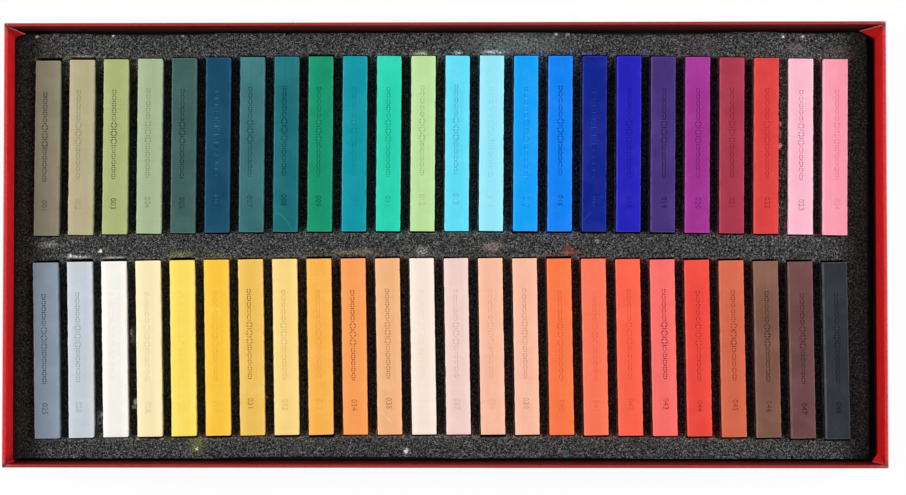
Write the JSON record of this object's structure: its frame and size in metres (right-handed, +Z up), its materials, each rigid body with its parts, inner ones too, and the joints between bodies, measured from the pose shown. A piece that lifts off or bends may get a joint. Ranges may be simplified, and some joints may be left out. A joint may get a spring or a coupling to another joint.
{
  "type": "pastel tray",
  "caption": "Shallow open tray of red paper over board, with a slotted black foam insert that holds two rows of square pastel sticks, each of its own colour.",
  "frame": {"origin": "middle of the tray's underside, on the surface that it stands on", "axes": "+X along the rows of sticks, to the right; +Y across the tray, from the near row to the far row; +Z up, out of the tray's open top"},
  "size_m": [0.3218, 0.1622, 0.02],
  "materials": {
    "red_paper": "matte, lightly calendered",
    "greyboard": "matte",
    "kraft_tape": "matte",
    "slotted_foam": "open-cell foam, matte",
    "backing_foam": "open-cell foam, matte",
    "pastel_olive_grey": "matte, chalky",
    "pastel_sand": "matte, chalky",
    "pastel_moss_lime": "matte, chalky",
    "pastel_pale_sage": "matte, chalky",
    "pastel_deep_sage": "matte, chalky",
    "pastel_deep_blue": "matte, chalky",
    "pastel_grey_teal": "matte, chalky",
    "pastel_teal": "matte, chalky",
    "pastel_emerald": "matte, chalky",
    "pastel_turquoise": "matte, chalky",
    "pastel_mint": "matte, chalky",
    "pastel_light_lime": "matte, chalky",
    "pastel_sky_cyan": "matte, chalky",
    "pastel_pale_cyan": "matte, chalky",
    "pastel_azure": "matte, chalky",
    "pastel_bright_blue": "matte, chalky",
    "pastel_ultramarine": "matte, chalky",
    "pastel_blue_violet": "matte, chalky",
    "pastel_dark_violet": "matte, chalky",
    "pastel_magenta_purple": "matte, chalky",
    "pastel_crimson": "matte, chalky",
    "pastel_scarlet": "matte, chalky",
    "pastel_light_pink": "matte, chalky",
    "pastel_pink": "matte, chalky",
    "pastel_slate": "matte, chalky",
    "pastel_light_grey_blue": "matte, chalky",
    "pastel_white": "matte, chalky",
    "pastel_cream": "matte, chalky",
    "pastel_yellow": "matte, chalky",
    "pastel_golden_yellow": "matte, chalky",
    "pastel_ochre": "matte, chalky",
    "pastel_light_ochre": "matte, chalky",
    "pastel_amber": "matte, chalky",
    "pastel_orange": "matte, chalky",
    "pastel_tan": "matte, chalky",
    "pastel_pale_peach": "matte, chalky",
    "pastel_rose_grey": "matte, chalky",
    "pastel_salmon": "matte, chalky",
    "pastel_peach": "matte, chalky",
    "pastel_vivid_orange": "matte, chalky",
    "pastel_coral": "matte, chalky",
    "pastel_vermilion": "matte, chalky",
    "pastel_coral_pink": "matte, chalky",
    "pastel_poppy_red": "matte, chalky",
    "pastel_terracotta": "matte, chalky",
    "pastel_brown": "matte, chalky",
    "pastel_maroon_brown": "matte, chalky",
    "pastel_blue_black": "matte, chalky"
  },
  "bodies": {
    "tray": {"tray_board": "greyboard", "side_wrap": "red_paper", "base_sheet": "red_paper", "corner_stay_far_left": "kraft_tape", "corner_stay_far_right": "kraft_tape", "corner_stay_near_left": "kraft_tape", "corner_stay_near_right": "kraft_tape"},
    "foam": {"foam_insert": "slotted_foam", "foam_backing": "backing_foam"},
    "stick_far_01": {"pastel_far_01_olive_grey": "pastel_olive_grey"},
    "stick_far_02": {"pastel_far_02_sand": "pastel_sand"},
    "stick_far_03": {"pastel_far_03_moss_lime": "pastel_moss_lime"},
    "stick_far_04": {"pastel_far_04_pale_sage": "pastel_pale_sage"},
    "stick_far_05": {"pastel_far_05_deep_sage": "pastel_deep_sage"},
    "stick_far_06": {"pastel_far_06_deep_blue": "pastel_deep_blue"},
    "stick_far_07": {"pastel_far_07_grey_teal": "pastel_grey_teal"},
    "stick_far_08": {"pastel_far_08_teal": "pastel_teal"},
    "stick_far_09": {"pastel_far_09_emerald": "pastel_emerald"},
    "stick_far_10": {"pastel_far_10_turquoise": "pastel_turquoise"},
    "stick_far_11": {"pastel_far_11_mint": "pastel_mint"},
    "stick_far_12": {"pastel_far_12_light_lime": "pastel_light_lime"},
    "stick_far_13": {"pastel_far_13_sky_cyan": "pastel_sky_cyan"},
    "stick_far_14": {"pastel_far_14_pale_cyan": "pastel_pale_cyan"},
    "stick_far_15": {"pastel_far_15_azure": "pastel_azure"},
    "stick_far_16": {"pastel_far_16_bright_blue": "pastel_bright_blue"},
    "stick_far_17": {"pastel_far_17_ultramarine": "pastel_ultramarine"},
    "stick_far_18": {"pastel_far_18_blue_violet": "pastel_blue_violet"},
    "stick_far_19": {"pastel_far_19_dark_violet": "pastel_dark_violet"},
    "stick_far_20": {"pastel_far_20_magenta_purple": "pastel_magenta_purple"},
    "stick_far_21": {"pastel_far_21_crimson": "pastel_crimson"},
    "stick_far_22": {"pastel_far_22_scarlet": "pastel_scarlet"},
    "stick_far_23": {"pastel_far_23_light_pink": "pastel_light_pink"},
    "stick_far_24": {"pastel_far_24_pink": "pastel_pink"},
    "stick_near_01": {"pastel_near_01_slate": "pastel_slate"},
    "stick_near_02": {"pastel_near_02_light_grey_blue": "pastel_light_grey_blue"},
    "stick_near_03": {"pastel_near_03_white": "pastel_white"},
    "stick_near_04": {"pastel_near_04_cream": "pastel_cream"},
    "stick_near_05": {"pastel_near_05_yellow": "pastel_yellow"},
    "stick_near_06": {"pastel_near_06_golden_yellow": "pastel_golden_yellow"},
    "stick_near_07": {"pastel_near_07_ochre": "pastel_ochre"},
    "stick_near_08": {"pastel_near_08_light_ochre": "pastel_light_ochre"},
    "stick_near_09": {"pastel_near_09_amber": "pastel_amber"},
    "stick_near_10": {"pastel_near_10_orange": "pastel_orange"},
    "stick_near_11": {"pastel_near_11_tan": "pastel_tan"},
    "stick_near_12": {"pastel_near_12_pale_peach": "pastel_pale_peach"},
    "stick_near_13": {"pastel_near_13_rose_grey": "pastel_rose_grey"},
    "stick_near_14": {"pastel_near_14_salmon": "pastel_salmon"},
    "stick_near_15": {"pastel_near_15_peach": "pastel_peach"},
    "stick_near_16": {"pastel_near_16_vivid_orange": "pastel_vivid_orange"},
    "stick_near_17": {"pastel_near_17_coral": "pastel_coral"},
    "stick_near_18": {"pastel_near_18_vermilion": "pastel_vermilion"},
    "stick_near_19": {"pastel_near_19_coral_pink": "pastel_coral_pink"},
    "stick_near_20": {"pastel_near_20_poppy_red": "pastel_poppy_red"},
    "stick_near_21": {"pastel_near_21_terracotta": "pastel_terracotta"},
    "stick_near_22": {"pastel_near_22_brown": "pastel_brown"},
    "stick_near_23": {"pastel_near_23_maroon_brown": "pastel_maroon_brown"},
    "stick_near_24": {"pastel_near_24_blue_black": "pastel_blue_black"}
  },
  "joints": [
    {"name": "foam_lift", "type": "slide", "parent": "tray", "child": "foam", "axis": [0, 0, 1], "range_m": [0, 0.024]},
    {"name": "stick_far_01_lift", "type": "slide", "parent": "foam", "child": "stick_far_01", "axis": [0, 0, 1], "range_m": [0, 0.022]},
    {"name": "stick_far_02_lift", "type": "slide", "parent": "foam", "child": "stick_far_02", "axis": [0, 0, 1], "range_m": [0, 0.022]},
    {"name": "stick_far_03_lift", "type": "slide", "parent": "foam", "child": "stick_far_03", "axis": [0, 0, 1], "range_m": [0, 0.022]},
    {"name": "stick_far_04_lift", "type": "slide", "parent": "foam", "child": "stick_far_04", "axis": [0, 0, 1], "range_m": [0, 0.022]},
    {"name": "stick_far_05_lift", "type": "slide", "parent": "foam", "child": "stick_far_05", "axis": [0, 0, 1], "range_m": [0, 0.022]},
    {"name": "stick_far_06_lift", "type": "slide", "parent": "foam", "child": "stick_far_06", "axis": [0, 0, 1], "range_m": [0, 0.022]},
    {"name": "stick_far_07_lift", "type": "slide", "parent": "foam", "child": "stick_far_07", "axis": [0, 0, 1], "range_m": [0, 0.022]},
    {"name": "stick_far_08_lift", "type": "slide", "parent": "foam", "child": "stick_far_08", "axis": [0, 0, 1], "range_m": [0, 0.022]},
    {"name": "stick_far_09_lift", "type": "slide", "parent": "foam", "child": "stick_far_09", "axis": [0, 0, 1], "range_m": [0, 0.022]},
    {"name": "stick_far_10_lift", "type": "slide", "parent": "foam", "child": "stick_far_10", "axis": [0, 0, 1], "range_m": [0, 0.022]},
    {"name": "stick_far_11_lift", "type": "slide", "parent": "foam", "child": "stick_far_11", "axis": [0, 0, 1], "range_m": [0, 0.022]},
    {"name": "stick_far_12_lift", "type": "slide", "parent": "foam", "child": "stick_far_12", "axis": [0, 0, 1], "range_m": [0, 0.022]},
    {"name": "stick_far_13_lift", "type": "slide", "parent": "foam", "child": "stick_far_13", "axis": [0, 0, 1], "range_m": [0, 0.022]},
    {"name": "stick_far_14_lift", "type": "slide", "parent": "foam", "child": "stick_far_14", "axis": [0, 0, 1], "range_m": [0, 0.022]},
    {"name": "stick_far_15_lift", "type": "slide", "parent": "foam", "child": "stick_far_15", "axis": [0, 0, 1], "range_m": [0, 0.022]},
    {"name": "stick_far_16_lift", "type": "slide", "parent": "foam", "child": "stick_far_16", "axis": [0, 0, 1], "range_m": [0, 0.022]},
    {"name": "stick_far_17_lift", "type": "slide", "parent": "foam", "child": "stick_far_17", "axis": [0, 0, 1], "range_m": [0, 0.022]},
    {"name": "stick_far_18_lift", "type": "slide", "parent": "foam", "child": "stick_far_18", "axis": [0, 0, 1], "range_m": [0, 0.022]},
    {"name": "stick_far_19_lift", "type": "slide", "parent": "foam", "child": "stick_far_19", "axis": [0, 0, 1], "range_m": [0, 0.022]},
    {"name": "stick_far_20_lift", "type": "slide", "parent": "foam", "child": "stick_far_20", "axis": [0, 0, 1], "range_m": [0, 0.022]},
    {"name": "stick_far_21_lift", "type": "slide", "parent": "foam", "child": "stick_far_21", "axis": [0, 0, 1], "range_m": [0, 0.022]},
    {"name": "stick_far_22_lift", "type": "slide", "parent": "foam", "child": "stick_far_22", "axis": [0, 0, 1], "range_m": [0, 0.022]},
    {"name": "stick_far_23_lift", "type": "slide", "parent": "foam", "child": "stick_far_23", "axis": [0, 0, 1], "range_m": [0, 0.022]},
    {"name": "stick_far_24_lift", "type": "slide", "parent": "foam", "child": "stick_far_24", "axis": [0, 0, 1], "range_m": [0, 0.022]},
    {"name": "stick_near_01_lift", "type": "slide", "parent": "foam", "child": "stick_near_01", "axis": [0, 0, 1], "range_m": [0, 0.022]},
    {"name": "stick_near_02_lift", "type": "slide", "parent": "foam", "child": "stick_near_02", "axis": [0, 0, 1], "range_m": [0, 0.022]},
    {"name": "stick_near_03_lift", "type": "slide", "parent": "foam", "child": "stick_near_03", "axis": [0, 0, 1], "range_m": [0, 0.022]},
    {"name": "stick_near_04_lift", "type": "slide", "parent": "foam", "child": "stick_near_04", "axis": [0, 0, 1], "range_m": [0, 0.022]},
    {"name": "stick_near_05_lift", "type": "slide", "parent": "foam", "child": "stick_near_05", "axis": [0, 0, 1], "range_m": [0, 0.022]},
    {"name": "stick_near_06_lift", "type": "slide", "parent": "foam", "child": "stick_near_06", "axis": [0, 0, 1], "range_m": [0, 0.022]},
    {"name": "stick_near_07_lift", "type": "slide", "parent": "foam", "child": "stick_near_07", "axis": [0, 0, 1], "range_m": [0, 0.022]},
    {"name": "stick_near_08_lift", "type": "slide", "parent": "foam", "child": "stick_near_08", "axis": [0, 0, 1], "range_m": [0, 0.022]},
    {"name": "stick_near_09_lift", "type": "slide", "parent": "foam", "child": "stick_near_09", "axis": [0, 0, 1], "range_m": [0, 0.022]},
    {"name": "stick_near_10_lift", "type": "slide", "parent": "foam", "child": "stick_near_10", "axis": [0, 0, 1], "range_m": [0, 0.022]},
    {"name": "stick_near_11_lift", "type": "slide", "parent": "foam", "child": "stick_near_11", "axis": [0, 0, 1], "range_m": [0, 0.022]},
    {"name": "stick_near_12_lift", "type": "slide", "parent": "foam", "child": "stick_near_12", "axis": [0, 0, 1], "range_m": [0, 0.022]},
    {"name": "stick_near_13_lift", "type": "slide", "parent": "foam", "child": "stick_near_13", "axis": [0, 0, 1], "range_m": [0, 0.022]},
    {"name": "stick_near_14_lift", "type": "slide", "parent": "foam", "child": "stick_near_14", "axis": [0, 0, 1], "range_m": [0, 0.022]},
    {"name": "stick_near_15_lift", "type": "slide", "parent": "foam", "child": "stick_near_15", "axis": [0, 0, 1], "range_m": [0, 0.022]},
    {"name": "stick_near_16_lift", "type": "slide", "parent": "foam", "child": "stick_near_16", "axis": [0, 0, 1], "range_m": [0, 0.022]},
    {"name": "stick_near_17_lift", "type": "slide", "parent": "foam", "child": "stick_near_17", "axis": [0, 0, 1], "range_m": [0, 0.022]},
    {"name": "stick_near_18_lift", "type": "slide", "parent": "foam", "child": "stick_near_18", "axis": [0, 0, 1], "range_m": [0, 0.022]},
    {"name": "stick_near_19_lift", "type": "slide", "parent": "foam", "child": "stick_near_19", "axis": [0, 0, 1], "range_m": [0, 0.022]},
    {"name": "stick_near_20_lift", "type": "slide", "parent": "foam", "child": "stick_near_20", "axis": [0, 0, 1], "range_m": [0, 0.022]},
    {"name": "stick_near_21_lift", "type": "slide", "parent": "foam", "child": "stick_near_21", "axis": [0, 0, 1], "range_m": [0, 0.022]},
    {"name": "stick_near_22_lift", "type": "slide", "parent": "foam", "child": "stick_near_22", "axis": [0, 0, 1], "range_m": [0, 0.022]},
    {"name": "stick_near_23_lift", "type": "slide", "parent": "foam", "child": "stick_near_23", "axis": [0, 0, 1], "range_m": [0, 0.022]},
    {"name": "stick_near_24_lift", "type": "slide", "parent": "foam", "child": "stick_near_24", "axis": [0, 0, 1], "range_m": [0, 0.022]}
  ]
}
